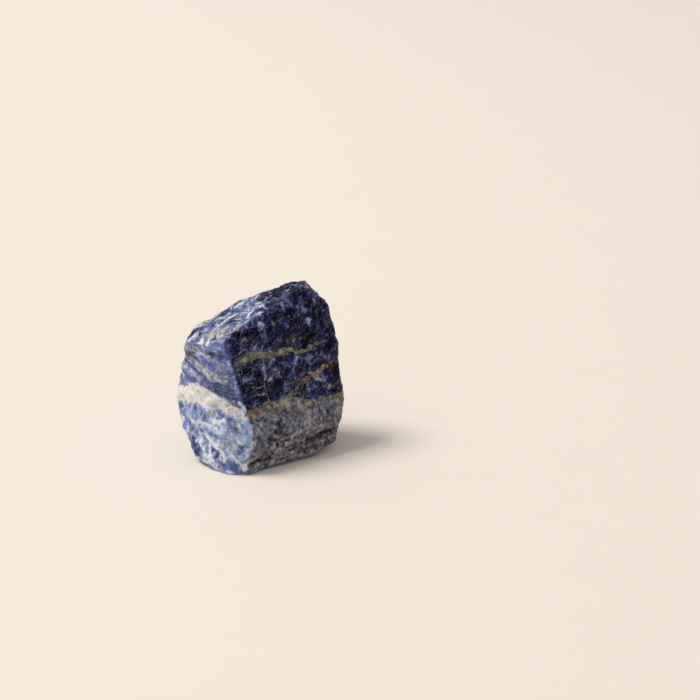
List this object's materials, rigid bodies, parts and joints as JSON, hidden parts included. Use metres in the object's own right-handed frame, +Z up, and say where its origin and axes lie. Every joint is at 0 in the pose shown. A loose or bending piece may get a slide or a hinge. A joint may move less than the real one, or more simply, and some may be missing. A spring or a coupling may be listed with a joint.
{
  "type": "rough sodalite",
  "caption": "Rough lump of banded blue sodalite with a sharp near ridge, a sloping top, broken faces and a small flat spot to rest on.",
  "frame": {"origin": "centre of the base of the bounding box, level with the flat spot that the stone rests on", "axes": "+Z up, +X to the right and +Y away, seen from the front, where the sharp ridge between the two near faces shows"},
  "size_m": [0.0518, 0.044, 0.0494],
  "materials": {
    "sodalite": "rough broken stone, granular, with a dull glassy lustre"
  },
  "bodies": {
    "root": {"sodalite_stone": "sodalite"}
  },
  "joints": []
}
